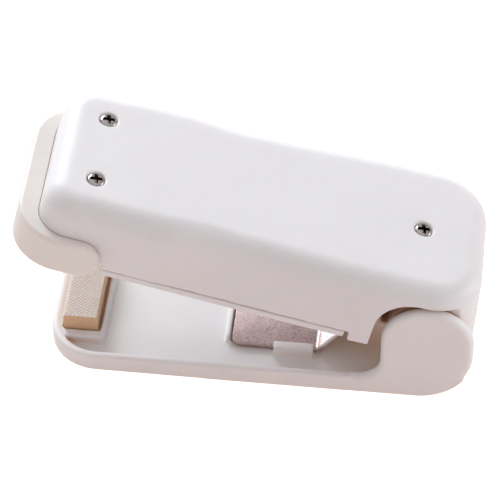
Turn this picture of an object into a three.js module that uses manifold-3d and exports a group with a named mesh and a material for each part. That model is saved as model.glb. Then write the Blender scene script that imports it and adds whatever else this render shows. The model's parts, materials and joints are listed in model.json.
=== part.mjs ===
// Handheld bag heat sealer: a flat base with two hinge ears, and a battery arm that is pressed
// down on it. The arm carries a floating jaw with a heating ribbon, which meets a silicone pad.
//
// Millimetres, +Z up. x is measured from the hinge axis, the jaws point to -x, and y = 0 is the
// middle. The base rests on z = 0. Every piece of the arm is drawn with the arm closed, parallel
// to the base, and one group then swings the whole arm open to its rest position.

import * as THREE from 'three';
import { mergeVertices } from 'three/addons/utils/BufferGeometryUtils.js';
import Module from 'manifold-3d';

const wasm = await Module();
wasm.setup();

// ---- driving dimensions ----

const HINGE_FROM_ORIGIN = 42;          // the origin is under the middle of the base
const HINGE_Z = 18.7;
const REST_OPENING = 12.6;             // degrees between arm and base at rest
const HALF_WIDTH = 22.5;
const GAP = 0.3;                       // clearance between pieces that touch
const FAR = 2 * HALF_WIDTH;            // for cuts that run well past the object

const BASE_FRONT = -94.4;
const BASE_CORNER = 12.5;
const FLOOR_TOP = 2;
const RIM_TOP = 5;
const RIM_WIDTH = 2;
const RIM_CHAMFER = 0.3;                // on the rim's inner upper edge
const RIM_EASING = 0.6;                // rounding of the rim's upper edge
const FOOT_EASING = 0.15;              // the lower edge is almost sharp

const EAR = { x: -0.3, z: 18.2, radius: 11.3, thick: 2.5, easing: 1.9 };
const EAR_FRONT = EAR.x - EAR.radius;
const EAR_REAR = EAR.x + EAR.radius;
const EAR_FILLET = 5.6;                // hollow curve from the rim up to the ear
const FILLET_X = EAR_FRONT - EAR_FILLET;
const HEEL_RADIUS = 14;                // lower rear curve of the ears
const HEEL_X = EAR_REAR - HEEL_RADIUS;
const HEEL_WALL_TOP = 8;

const PAD = { front: -91.1, rear: -82.7, halfWidth: 12.8, top: 8.9, seat: 3 };
const PLINTH = { rear: -81, halfWidth: 15.5, top: 4.7 };
const LEAF = { front: -49.2, bend: -27.6, halfWidth: 12.4, top: 3.2, thick: 0.6, slope: 52, tip: 16.7 };
const HOOK = { front: -38.5, rear: -28.6, inner: 12.7, outer: 14.7, reach: 0.5, top: 5.3 };
const STOP_RIB = { front: -50.6, rear: -49.6, halfWidth: 11, top: 4.2 };   // ends the leaf's slot
const RIB_FOOT = 1;                    // ribs and blocks start inside the floor

const ARM_TOP = 36.1;
const ARM_FRONT = -99.2;
const ARM_REAR = { low: 11.6, high: 9.3 };
const ARM_WALL = 2;
const TOP_FILLET = 5.5;
const STEP = { depth: 0.8, front: 68, rear: 50, from: 24 };   // the top is lower behind the head
const SIDE_LOW = 16.8;                 // lower edge of the side walls, above the battery door
const SKIRT_LOW = 14;                  // lower edge of the side walls beside the hinge
const SLIT_TOP = 19;
const HEAD_LOW = 18.9;                 // lower edge of the front wall, inside the jaw collar
const CUT_OUT = { front: -14.1, top: 30.5, radius: 9.3 };   // clears the ears on either side
const TAIL = { halfWidth: 19.4, low: 15.5 };               // rear wall between the ears

const DOOR = { front: -80.9, rear: -20.2, low: 14.55, top: 16.6 };
const JAW = { front: -104, halfWidth: 23.3, corner: 12, low: 15.4, top: 25.2, armEnd: -82, easing: 1.1 };
const COLLAR_GAP = 0.35;               // around the housing, which slides inside the collar
const JAW_BLOCK = { front: -91.6, rear: -82.2, halfWidth: 17, low: 10.3 };
const JAW_FLOOR = { front: -97, rear: DOOR.front - 0.9, halfWidth: 19.5, top: 17.1 };
const RIBBON = { front: -88.7, rear: -85.7, y: 15.4, thick: 0.2 };
const COVER = { overhang: 0.3, halfWidth: 14.2, thick: 0.15, top: 13.5 };
const TERMINAL = { front: -94, rear: -85.2, y: 15.5, halfWidth: 1.5 };
const TERMINAL_SCREW = { x: -92.2, y: 15.5, headRadius: 1.7, headHeight: 1, shankRadius: 0.85, length: 4.5 };

const CELL = { radius: 7.1, length: 49.5, nub: 1, nubRadius: 2.7, y: 7.35, z: 24.3, front: -76.2 };
const BAY = { front: -80, rear: -21, wall: 1.2, halfWidth: 14.9, shoulder: 30.6, roofHalfWidth: 13.9, ceiling: 32 };
const FRAME = { top: 33.1, endLow: 19, endTop: 32.5, endHalfWidth: 15.5, tunnelRear: -12 };
const FRAME_TAIL = { rear: -8, low: 15.2, top: 16.6, cheekTop: 20 };
const DECK = { front: -93.5, halfWidth: 14.6 };
const BOSS = { radius: 3, low: 26.2, top: 33.8, guideLow: 23.5, guideRadius: 1.6 };
const PLATE = 0.4;                     // thickness of the contact metal
const CONTACT = { halfWidth: 5, low: 19.5, top: 29.2, tabHalfWidth: 1.5, tabLength: 2.8, studRadius: 2 };
const CONTACT_COIL = { radius: 2.9, wire: 0.7, turns: 2.5, squash: 0.9 };
const BLADE = { front: -87.6, y: 15.2, low: 22.6, top: 30, halfWidth: 0.9 };
const WIRE_RADIUS = 0.55;
const SCREW = { headRadius: 2.15, headHeight: 1.15, shankRadius: 1.3, length: 7.2 };
const FRONT_SCREW = { x: -87.2, y: 10.4, seat: 35.1 };
const REAR_SCREW = { x: -7.1, y: -0.5, seat: 34.2 };
const SCREW_SPOTS = [{ ...FRONT_SCREW, y: -FRONT_SCREW.y }, FRONT_SCREW, REAR_SCREW];
const PIN = { radius: 2, halfWidth: 21.4, bossRadius: 4.5 };
const BARREL = { radius: 10.4, bore: 8.8, halfWidth: 18.2, boreHalfWidth: 16.4 };

// ---- materials ----

const finish = (color, roughness, metalness = 0) =>
  new THREE.MeshStandardMaterial({ color, roughness, metalness });

const WHITE_PLASTIC = finish(0xece9ec, 0.45);
const CREAM_PLASTIC = finish(0xebe6e1, 0.4);
const INNER_PLASTIC = finish(0xd9d5d2, 0.6);
const SILICONE = finish(0xdcc4a2, 0.8);
const SPRING_STEEL = finish(0x9a8f8c, 0.35, 1);
const NICKEL = finish(0xb8b6b2, 0.25, 1);
const BRASS = finish(0xc2a45a, 0.35, 1);
const CELL_SLEEVE = finish(0x39424c, 0.5);
const GLASS_CLOTH = finish(0x9c6b3f, 0.7);
const MICA = finish(0xa79a86, 0.7);
const RED_WIRE = finish(0xa8231c, 0.5);
const BLACK_WIRE = finish(0x1d1d1f, 0.5);

// ---- solids ----

function solid(geometry) {
  const plain = geometry.clone();
  plain.deleteAttribute('normal');
  plain.deleteAttribute('uv');
  const merged = mergeVertices(plain, 1e-4);
  return new wasm.Manifold(new wasm.Mesh({
    numProp: 3,
    vertProperties: new Float32Array(merged.attributes.position.array),
    triVerts: new Uint32Array(merged.index.array),
  }));
}

function toGeometry(manifold) {
  const { vertProperties, triVerts } = manifold.getMesh();
  const geometry = new THREE.BufferGeometry();
  geometry.setAttribute('position', new THREE.BufferAttribute(new Float32Array(vertProperties), 3));
  geometry.setIndex(new THREE.BufferAttribute(new Uint32Array(triVerts), 1));
  geometry.computeVertexNormals();
  return geometry;
}

const join = (...solids) => solids.reduce((all, next) => all.add(next));
const cut = (body, ...tools) => tools.reduce((left, tool) => left.subtract(tool), body);

function box(x0, x1, y0, y1, z0, z1) {
  const geometry = new THREE.BoxGeometry(x1 - x0, y1 - y0, z1 - z0);
  geometry.translate((x0 + x1) / 2, (y0 + y1) / 2, (z0 + z1) / 2);
  return solid(geometry);
}

// An upright round bar, or with two radii a cone: r0 at z0, r1 at z1.
function post(x, y, z0, z1, r0, r1 = r0, sides = 24) {
  const geometry = new THREE.CylinderGeometry(r1, r0, z1 - z0, sides);
  geometry.rotateX(Math.PI / 2);
  geometry.translate(x, y, (z0 + z1) / 2);
  return solid(geometry);
}

// A round bar across the object, on the line x, z.
function crossBar(x, z, y0, y1, radius, sides = 32) {
  const geometry = new THREE.CylinderGeometry(radius, radius, y1 - y0, sides);
  geometry.translate(x, (y0 + y1) / 2, z);
  return solid(geometry);
}

// A round bar along the object, on the line y, z.
function longBar(x0, x1, y, z, radius, sides = 24) {
  const geometry = new THREE.CylinderGeometry(radius, radius, x1 - x0, sides);
  geometry.rotateZ(-Math.PI / 2);
  geometry.translate((x0 + x1) / 2, y, z);
  return solid(geometry);
}

const AXIS_X = new THREE.Vector3(1, 0, 0);
const AXIS_Y = new THREE.Vector3(0, 1, 0);
const AXIS_Z = new THREE.Vector3(0, 0, 1);
const SIDE_VIEW = new THREE.Matrix4().makeBasis(AXIS_X, AXIS_Z, AXIS_Y.clone().negate());
const END_VIEW = new THREE.Matrix4().makeBasis(AXIS_Y, AXIS_Z, AXIS_X);

// A shape drawn in x and z, extruded across from y0 to y1, with its edges eased if easing is given.
function acrossSolid(shape, y0, y1, curveSegments = 12, easing = 0) {
  const geometry = new THREE.ExtrudeGeometry(shape, {
    depth: y1 - y0 - 2 * easing,
    curveSegments,
    bevelEnabled: easing > 0,
    bevelThickness: easing,
    bevelSize: easing,
    bevelOffset: -easing,
    bevelSegments: 3,
  });
  geometry.applyMatrix4(SIDE_VIEW);
  geometry.translate(0, y1 - easing, 0);
  return solid(geometry);
}

// A shape drawn in y and z, extruded along from x0 to x1.
function alongSolid(shape, x0, x1) {
  const geometry = new THREE.ExtrudeGeometry(shape, { depth: x1 - x0, bevelEnabled: false });
  geometry.applyMatrix4(END_VIEW);
  geometry.translate(x0, 0, 0);
  return solid(geometry);
}

function polygon(points) {
  return new THREE.Shape(points.map(([a, b]) => new THREE.Vector2(a, b)));
}

// ---- plan outlines and the rounded shells made from them ----

// A closed outline seen from above, mirrored about y = 0. halfWidthAt gives the side's y at x.
function planOutline({ front, rear, frontCorner, rearCorner, halfWidthAt, sideSteps = 24, cornerSteps = 8 }) {
  const half = [];
  const cornerX = front + frontCorner;
  const cornerY = halfWidthAt(cornerX) - frontCorner;
  for (let i = 0; i <= cornerSteps; i += 1) {
    const angle = Math.PI - (i / cornerSteps) * (Math.PI / 2);
    half.push(new THREE.Vector2(cornerX + frontCorner * Math.cos(angle), cornerY + frontCorner * Math.sin(angle)));
  }
  const rearX = rear - rearCorner;
  for (let i = 1; i < sideSteps; i += 1) {
    const x = cornerX + (i / sideSteps) * (rearX - cornerX);
    half.push(new THREE.Vector2(x, halfWidthAt(x)));
  }
  const rearY = halfWidthAt(rearX) - rearCorner;
  for (let i = 0; i <= cornerSteps; i += 1) {
    const angle = (Math.PI / 2) * (1 - i / cornerSteps);
    half.push(new THREE.Vector2(rearX + rearCorner * Math.cos(angle), rearY + rearCorner * Math.sin(angle)));
  }
  const mirrored = half.map((p) => new THREE.Vector2(p.x, -p.y));
  return [...mirrored, ...half.reverse()];
}

// The outline moved inwards by inset (outwards when it is negative) and lifted to z.
function ring(outline, inset, z) {
  const count = outline.length;
  return outline.map((point, i) => {
    const before = outline[(i + count - 1) % count];
    const after = outline[(i + 1) % count];
    const along = after.clone().sub(before).normalize();
    return new THREE.Vector3(point.x - along.y * inset, point.y + along.x * inset, z);
  });
}

const blendOutlines = (a, b, t) => a.map((point, i) => point.clone().lerp(b[i], t));

// A closed solid through rings of equal length, from the lowest to the highest. The rings are
// mirrored about y = 0, so each end is closed with strips from one side straight to the other.
function ringSolid(rings) {
  const count = rings[0].length;
  const positions = rings.flatMap((points) => points.flatMap((p) => [p.x, p.y, p.z]));
  const index = [];
  for (let r = 0; r + 1 < rings.length; r += 1) {
    for (let i = 0; i < count; i += 1) {
      const a = r * count + i;
      const b = r * count + ((i + 1) % count);
      index.push(a, b, b + count, a, b + count, a + count);
    }
  }
  const top = (rings.length - 1) * count;
  for (let near = 0; near + 1 < count / 2; near += 1) {
    const far = count - 1 - near;
    index.push(near, far, far - 1, near, far - 1, near + 1);
    index.push(top + near, top + near + 1, top + far - 1, top + near, top + far - 1, top + far);
  }
  const geometry = new THREE.BufferGeometry();
  geometry.setAttribute('position', new THREE.Float32BufferAttribute(positions, 3));
  geometry.setIndex(index);
  return solid(geometry);
}

// Rings of a convex rounding of the given radius that ends at z = top.
function roundedTop(outline, radius, top, steps, inset = 0) {
  const rings = [];
  for (let i = 0; i <= steps; i += 1) {
    const angle = (i / steps) * (Math.PI / 2);
    const inward = radius * (1 - Math.cos(angle));
    rings.push(ring(outline, inset + inward, top - radius + radius * Math.sin(angle)));
  }
  return rings;
}

// ---- coils and wires ----

class Helix extends THREE.Curve {
  constructor(radius, height, turns) {
    super();
    Object.assign(this, { radius, height, turns });
  }

  getPoint(t, target = new THREE.Vector3()) {
    const angle = 2 * Math.PI * this.turns * t;
    return target.set(this.radius * Math.cos(angle), this.radius * Math.sin(angle), this.height * t);
  }
}

function wireGeometry(path, radius, steps, sides = 8) {
  const section = new THREE.Shape();
  section.absarc(0, 0, radius, 0, 2 * Math.PI);
  return new THREE.ExtrudeGeometry(section, { steps, extrudePath: path, curveSegments: sides / 2 });
}

function coil(radius, wire, height, turns) {
  return wireGeometry(new Helix(radius, height, turns), wire / 2, Math.round(turns * 12), 6);
}

// ---- the base ----

const baseHalfWidth = (x) => HALF_WIDTH - 0.3 * THREE.MathUtils.smoothstep(-x, 20, 90);

function baseOutline(rear) {
  return planOutline({
    front: BASE_FRONT, rear, frontCorner: BASE_CORNER, rearCorner: 3, halfWidthAt: baseHalfWidth,
  });
}

function earShape() {
  const shape = new THREE.Shape();
  shape.moveTo(FILLET_X - 4, 0);
  shape.lineTo(HEEL_X, 0);
  shape.absarc(HEEL_X, HEEL_RADIUS, HEEL_RADIUS, -Math.PI / 2, 0);
  shape.lineTo(EAR_REAR, EAR.z);
  shape.absarc(EAR.x, EAR.z, EAR.radius, 0, Math.PI);
  shape.lineTo(EAR_FRONT, RIM_TOP + EAR_FILLET);
  shape.absarc(FILLET_X, RIM_TOP + EAR_FILLET, EAR_FILLET, 0, -Math.PI / 2, true);
  shape.lineTo(FILLET_X - 4, RIM_TOP);
  return shape;
}

// The ears and the rear of the base as one block: well rounded above, almost sharp along the foot.
// The foot is a hair smaller than the block, so that no two curved faces lie on top of each other.
function earBlock() {
  const hair = 0.04;
  const front = FILLET_X - 3.9;
  const halfWidth = HALF_WIDTH - hair / 2;
  const foot = new THREE.Shape();
  foot.moveTo(front, hair);
  foot.lineTo(HEEL_X, hair);
  foot.absarc(HEEL_X, HEEL_RADIUS, HEEL_RADIUS - hair, -Math.PI / 2, -0.5);
  foot.lineTo(front, RIM_TOP - 1.6);
  return join(
    acrossSolid(earShape(), -HALF_WIDTH, HALF_WIDTH, 14, EAR.easing),
    acrossSolid(foot, -halfWidth, halfWidth, 14, FOOT_EASING),
  );
}

// The space between the ears: open above, and closed behind by a low curved wall.
function hingeSpace() {
  const innerRadius = HEEL_RADIUS - RIM_WIDTH;
  const shape = new THREE.Shape();
  shape.moveTo(FILLET_X - 6, FLOOR_TOP);
  shape.lineTo(HEEL_X, FLOOR_TOP);
  shape.absarc(HEEL_X, HEEL_RADIUS, innerRadius, -Math.PI / 2, 0);
  shape.lineTo(HEEL_X + innerRadius, 2 * HINGE_Z);
  shape.lineTo(FILLET_X - 6, 2 * HINGE_Z);
  const inner = HALF_WIDTH - EAR.thick;
  const above = box(EAR_FRONT, 2 * EAR_REAR, -inner, inner, HEEL_WALL_TOP, 2 * HINGE_Z);
  return join(acrossSolid(shape, -inner, inner), above);
}

// The two hooks that hold the leaf spring down at its long edges.
function leafHooks() {
  const upright = box(HOOK.front, HOOK.rear, HOOK.inner, HOOK.outer, RIB_FOOT, HOOK.top);
  const lip = box(HOOK.front, HOOK.rear, HOOK.inner - HOOK.reach, HOOK.outer, LEAF.top + GAP, HOOK.top);
  const hook = join(upright, lip);
  return join(hook, hook.mirror([0, 1, 0]));
}

function padPlinth(outline) {
  const { halfWidth } = PLINTH;
  const block = box(BASE_FRONT + 1, PLINTH.rear, -halfWidth, halfWidth, RIB_FOOT, PLINTH.top);
  return block.intersect(ringSolid([ring(outline, 0.5, 0), ring(outline, 0.5, RIM_TOP)]));
}

function baseShell() {
  const outline = baseOutline(FILLET_X);
  const tray = ringSolid([
    ring(outline, FOOT_EASING, 0),
    ring(outline, 0, FOOT_EASING),
    ...roundedTop(outline, RIM_EASING, RIM_TOP, 3),
  ]);
  const pocket = ringSolid([
    ring(outline, RIM_WIDTH, FLOOR_TOP),
    ring(outline, RIM_WIDTH, RIM_TOP - RIM_CHAMFER),
    ring(outline, RIM_WIDTH - RIM_CHAMFER, RIM_TOP + 0.01),
  ]);
  const stopRib = box(STOP_RIB.front, STOP_RIB.rear, -STOP_RIB.halfWidth, STOP_RIB.halfWidth, RIB_FOOT, STOP_RIB.top);
  const boss = crossBar(0, HINGE_Z, HALF_WIDTH - EAR.thick - GAP, HALF_WIDTH - 1, PIN.bossRadius);
  const body = join(
    cut(join(tray, earBlock()), pocket, hingeSpace()),
    boss,
    boss.mirror([0, 1, 0]),
    padPlinth(outline),
    stopRib,
    leafHooks(),
  );
  const seatHalfWidth = PAD.halfWidth + GAP;
  const padSeat = box(PAD.front - GAP, PAD.rear + 0.8, -seatHalfWidth, seatHalfWidth, PAD.seat, PAD.top);
  const pinHole = crossBar(0, HINGE_Z, -PIN.halfWidth - 0.2, PIN.halfWidth + 0.2, PIN.radius + GAP, 24);
  return cut(body, padSeat, pinHole);
}

function sealingPad() {
  const { front, rear, halfWidth, top, seat } = PAD;
  const outline = planOutline({
    front, rear, frontCorner: 0.5, rearCorner: 0.5, halfWidthAt: () => halfWidth, sideSteps: 2, cornerSteps: 2,
  });
  return ringSolid([ring(outline, 0, seat + 0.05), ...roundedTop(outline, 0.4, top, 2)]);
}

function leafSpring() {
  const slope = THREE.MathUtils.degToRad(LEAF.slope);
  const rise = LEAF.tip - LEAF.top;
  const tipX = LEAF.bend + rise / Math.tan(slope);
  const under = [LEAF.thick * Math.sin(slope), -LEAF.thick * Math.cos(slope)];
  const low = LEAF.top - LEAF.thick;
  return acrossSolid(polygon([
    [LEAF.front, low],
    [LEAF.bend + LEAF.thick * Math.tan(slope / 2), low],
    [tipX + under[0], LEAF.tip + under[1]],
    [tipX, LEAF.tip],
    [LEAF.bend, LEAF.top],
    [LEAF.front, LEAF.top],
  ]), -LEAF.halfWidth, LEAF.halfWidth);
}

const hingePin = () => crossBar(0, HINGE_Z, -PIN.halfWidth, PIN.halfWidth, PIN.radius, 24);

// ---- the arm's housing ----

// Half-widths of the arm at its lower edge and under the top fillet: a waist behind the head.
const armLowHalfWidth = (x) => HALF_WIDTH - 1.8 * THREE.MathUtils.smoothstep(-x, 15, 90);

function armHighHalfWidth(x) {
  const toWaist = THREE.MathUtils.smoothstep(-x, 15, 50);
  const toHead = THREE.MathUtils.smoothstep(-x, 56, 68);
  const toFront = THREE.MathUtils.smoothstep(-x, 72, 90);
  return 21.6 - 1.4 * toWaist + 1.4 * toHead - 0.5 * toFront + topSag(x);
}

// How far the top lies below the head's top.
function topSag(x) {
  return STEP.depth * (1 - THREE.MathUtils.smoothstep(-x, STEP.rear, STEP.front));
}

// Lowers a ring's points behind the head: nothing at the walls' lower part, all of it at the top.
function sagged(points) {
  for (const point of points) {
    const share = THREE.MathUtils.clamp((point.z - STEP.from) / (ARM_TOP - STEP.from), 0, 1);
    point.z -= share * topSag(point.x);
  }
  return points;
}

function armOutline(halfWidthAt, front, rear, rearCorner) {
  return planOutline({ front, rear, frontCorner: 8, rearCorner, halfWidthAt, sideSteps: 24, cornerSteps: 6 });
}

const ARM_LOW = armOutline(armLowHalfWidth, ARM_FRONT - 0.4, ARM_REAR.low, 10);
const ARM_HIGH = armOutline(armHighHalfWidth, ARM_FRONT + 0.8, ARM_REAR.high, 13);

// The arm's outer form, or the same form grown or shrunk by inset.
function armForm(inset, low, top) {
  const fillet = TOP_FILLET - inset;
  const filletStart = ARM_TOP - TOP_FILLET;
  const wallShare = (z) => (z - SKIRT_LOW) / (filletStart - SKIRT_LOW);
  const rings = [low, 0.5 * (low + filletStart)].map((z) =>
    ring(blendOutlines(ARM_LOW, ARM_HIGH, wallShare(z)), inset, z));
  return ringSolid([...rings, ...roundedTop(ARM_HIGH, fillet, top, 5, inset)].map(sagged));
}

function screwHoles() {
  return SCREW_SPOTS.flatMap(({ x, y, seat }) => [
    post(x, y, seat - GAP, ARM_TOP + 1, SCREW.headRadius + 0.2, SCREW.headRadius + 0.4),
    post(x, y, 20, ARM_TOP, SCREW.shankRadius + GAP),
  ]);
}

// The space for one ear in the housing's side, seen from the side: open below and behind.
function cutOutShape() {
  const { front, top, radius } = CUT_OUT;
  const shape = new THREE.Shape();
  shape.moveTo(front, 0);
  shape.lineTo(front, top - radius);
  shape.absarc(front + radius, top - radius, radius, Math.PI, Math.PI / 2, true);
  shape.lineTo(FAR, top + 0.5);
  shape.lineTo(FAR, 0);
  return shape;
}

function topHousing() {
  const shell = cut(armForm(0, SKIRT_LOW, ARM_TOP), armForm(ARM_WALL, SKIRT_LOW - 1, ARM_TOP - ARM_WALL));
  const skirtFront = DOOR.rear + 0.9;
  const slit = box(skirtFront - 0.25, skirtFront + 0.25, BAY.halfWidth, FAR, SKIRT_LOW - 1, SLIT_TOP);
  const cutOut = acrossSolid(cutOutShape(), TAIL.halfWidth, FAR, 16);
  return cut(
    shell,
    box(DOOR.front - 0.5, skirtFront, -FAR, FAR, 0, SIDE_LOW),
    box(-FAR * 3, DOOR.front - 0.4, -FAR, FAR, 0, HEAD_LOW),
    box(CUT_OUT.front, FAR, -FAR, FAR, 0, TAIL.low),
    slit,
    slit.mirror([0, 1, 0]),
    cutOut,
    cutOut.mirror([0, 1, 0]),
    ...screwHoles(),
  );
}

// ---- the frame inside the arm ----

// The battery tunnel seen from the end: two walls and a roof with sloping shoulders.
function tunnelShape() {
  const { halfWidth, shoulder, roofHalfWidth, ceiling } = BAY;
  const low = SIDE_LOW + GAP;
  const outer = halfWidth + BAY.wall;
  const outerShoulder = shoulder + 0.4;
  const outerRoof = roofHalfWidth + 0.7;
  return polygon([
    [-outer, low], [-halfWidth, low], [-halfWidth, shoulder], [-roofHalfWidth, ceiling],
    [roofHalfWidth, ceiling], [halfWidth, shoulder], [halfWidth, low], [outer, low],
    [outer, outerShoulder], [outerRoof, FRAME.top], [-outerRoof, FRAME.top], [-outer, outerShoulder],
  ]);
}

const FRAME_FRONT = BAY.front - BAY.wall;
const FRAME_REAR = BAY.rear + BAY.wall;

// The bay for the two cells: the tunnel, its two end walls, and the low tail behind it.
function batteryBay() {
  const outer = BAY.halfWidth + BAY.wall;
  const end = FRAME.endHalfWidth;
  const cheek = box(FRAME_REAR, FRAME.tunnelRear, BAY.halfWidth, outer, FRAME_TAIL.low, FRAME_TAIL.cheekTop);
  return join(
    alongSolid(tunnelShape(), FRAME_FRONT, FRAME.tunnelRear),
    box(FRAME_FRONT, BAY.front, -end, end, FRAME.endLow, FRAME.endTop),
    box(BAY.rear, FRAME_REAR, -end, end, SIDE_LOW + GAP, FRAME.endTop),
    box(FRAME_REAR, FRAME_TAIL.rear, -outer, outer, FRAME_TAIL.low, FRAME_TAIL.top),
    cheek,
    cheek.mirror([0, 1, 0]),
  );
}

// The hollow barrel round the hinge pin, open towards the bay, with the rear screw's boss.
function hingeBarrel() {
  const { radius, bore, halfWidth, boreHalfWidth } = BARREL;
  const opening = box(FRAME.tunnelRear, -7, -13, 13, SIDE_LOW + 0.2, 28);
  const tube = cut(
    crossBar(0, HINGE_Z, -halfWidth, halfWidth, radius, 48),
    crossBar(0, HINGE_Z, -boreHalfWidth, boreHalfWidth, bore, 48),
    opening,
  );
  const bridge = box(FRAME.tunnelRear - 0.5, -3.5, -8, 8, BAY.ceiling, FRAME.top);
  const boss = post(REAR_SCREW.x, REAR_SCREW.y, 24.5, FRAME.top, BOSS.radius);
  return join(tube, bridge, boss).intersect(armForm(ARM_WALL + GAP, 6, ARM_TOP - ARM_WALL));
}

// A boss for one front screw. Its lower end is a guide for the jaw's coil spring.
function frontBoss(side) {
  const y = side * FRONT_SCREW.y;
  return join(
    post(FRONT_SCREW.x, y, BOSS.low, BOSS.top, BOSS.radius),
    post(FRONT_SCREW.x, y, BOSS.guideLow, BOSS.low + 0.2, BOSS.guideRadius),
  );
}

function batteryChassis() {
  const deck = box(DECK.front, FRAME_FRONT + 0.1, -DECK.halfWidth, DECK.halfWidth, BAY.ceiling, FRAME.top);
  const body = join(batteryBay(), hingeBarrel(), deck, frontBoss(-1), frontBoss(1));
  const shankHoles = SCREW_SPOTS.map(({ x, y, seat }) =>
    post(x, y, seat - SCREW.length - 0.45, ARM_TOP, SCREW.shankRadius + GAP));
  const tabHalf = CONTACT.tabHalfWidth + 0.5;
  const tabSlots = [-CELL.y, CELL.y].map((y) =>
    box(FRAME_FRONT - 1, BAY.front + 1, y - tabHalf, y + tabHalf, CONTACT.top - 1, CONTACT.top + 0.6));
  const pinHole = crossBar(0, HINGE_Z, -BARREL.halfWidth - 1, BARREL.halfWidth + 1, PIN.radius + 0.1, 24);
  return cut(body, ...shankHoles, ...tabSlots, pinHole);
}

// An AA cell along x. The nub points to the front or to the rear.
function cell(y, nubForward) {
  const rear = CELL.front + CELL.length;
  const can = longBar(CELL.front, rear, y, CELL.z, CELL.radius, 32);
  const nub = nubForward
    ? longBar(CELL.front - CELL.nub, CELL.front + 1, y, CELL.z, CELL.nubRadius)
    : longBar(rear - 1, rear + CELL.nub, y, CELL.z, CELL.nubRadius);
  return join(can, nub);
}

// A battery spring on a contact plate at x, pointing along direction.
function contactCoil(x, y, length, direction) {
  const geometry = coil(CONTACT_COIL.radius, CONTACT_COIL.wire, length, CONTACT_COIL.turns);
  geometry.rotateY(direction * Math.PI / 2);
  geometry.translate(x, y, CELL.z);
  return solid(geometry);
}

// A contact at the front of the bay, with a tab through the wall for its wire.
function frontContact(y, withCoil) {
  const { halfWidth, low, top, tabHalfWidth, tabLength, studRadius } = CONTACT;
  const plateX = BAY.front + GAP;
  const plate = box(plateX, plateX + PLATE, y - halfWidth, y + halfWidth, low, top);
  const tab = box(plateX - tabLength, plateX + 0.1, y - tabHalfWidth, y + tabHalfWidth, top - PLATE, top);
  const touch = withCoil
    ? contactCoil(plateX + PLATE / 2, y, CELL.front - plateX - CONTACT_COIL.squash, 1)
    : longBar(plateX + PLATE / 2, CELL.front - CELL.nub - GAP, y, CELL.z, studRadius);
  return join(plate, tab, touch);
}

// The plate at the rear of the bay that joins one cell to the other.
function bridgeContact() {
  const plateX = BAY.rear - GAP;
  const cellRear = CELL.front + CELL.length;
  const halfWidth = CELL.y + CONTACT.halfWidth + 0.15;
  const plate = box(plateX - PLATE, plateX, -halfWidth, halfWidth, CONTACT.low, CONTACT.top);
  const spring = contactCoil(plateX - PLATE / 2, -CELL.y, plateX - cellRear - CONTACT_COIL.squash, -1);
  const stud = longBar(cellRear + CELL.nub + GAP, plateX - PLATE / 2, CELL.y, CELL.z, CONTACT.studRadius);
  return join(plate, spring, stud);
}

// A panhead screw with a cross recess, standing upright with its seat at z.
function screw(x, y, z, { headRadius, headHeight, shankRadius, length }) {
  const head = new THREE.LatheGeometry([
    new THREE.Vector2(0, 0),
    new THREE.Vector2(headRadius, 0),
    new THREE.Vector2(headRadius, headHeight * 0.4),
    new THREE.Vector2(headRadius * 0.86, headHeight * 0.8),
    new THREE.Vector2(headRadius * 0.5, headHeight),
    new THREE.Vector2(0, headHeight * 1.05),
  ], 24);
  head.rotateX(Math.PI / 2);
  head.translate(x, y, z);
  const arm = headRadius * 0.62;
  const slot = headRadius * 0.14;
  const deep = z + headHeight * 0.35;
  const recess = join(
    box(x - arm, x + arm, y - slot, y + slot, deep, z + 5),
    box(x - slot, x + slot, y - arm, y + arm, deep, z + 5),
  );
  const shank = join(
    post(x, y, z - length + 1.5, z + 0.2, shankRadius, shankRadius, 16),
    post(x, y, z - length, z - length + 1.5, 0.4, shankRadius, 16),
  );
  return cut(join(solid(head), shank), recess);
}

// A brass switch blade on the frame's front wall, above the jaw's terminal.
function contactBlade(side) {
  const y0 = side * BLADE.y - BLADE.halfWidth;
  const y1 = side * BLADE.y + BLADE.halfWidth;
  const wall = FRAME_FRONT - GAP;
  return join(
    box(wall - PLATE, wall, y0, y1, BLADE.low, BLADE.top),
    box(BLADE.front, wall, y0, y1, BLADE.low, BLADE.low + PLATE),
  );
}

// From a contact's tab, up and outwards along the frame's front wall, to the back of a blade.
function batteryWire(side) {
  const path = new THREE.CatmullRomCurve3([
    new THREE.Vector3(FRAME_FRONT - 1.9, side * CELL.y, CONTACT.top + 0.7),
    new THREE.Vector3(FRAME_FRONT - 2.2, side * (CELL.y + 0.8), CONTACT.top + 1.7),
    new THREE.Vector3(FRAME_FRONT - 2.4, side * (CELL.y + 3), CONTACT.top + 1.8),
    new THREE.Vector3(FRAME_FRONT - 2, side * (BLADE.y - 2.2), CONTACT.top + 1),
    new THREE.Vector3(FRAME_FRONT - 1.6, side * (BLADE.y - 0.6), CONTACT.top - 0.7),
    new THREE.Vector3(FRAME_FRONT - 1.6, side * BLADE.y, CONTACT.top - 2.7),
  ]);
  return wireGeometry(path, WIRE_RADIUS, 18, 8);
}

// ---- the floating front jaw ----

function pillShape() {
  const radius = (JAW.top - JAW.low) / 2;
  const middle = JAW.low + radius;
  const shape = new THREE.Shape();
  shape.moveTo(JAW.front - 5, JAW.low);
  shape.lineTo(JAW.armEnd - radius, JAW.low);
  shape.absarc(JAW.armEnd - radius, middle, radius, -Math.PI / 2, Math.PI / 2);
  shape.lineTo(JAW.front - 5, JAW.top);
  return shape;
}

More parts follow.
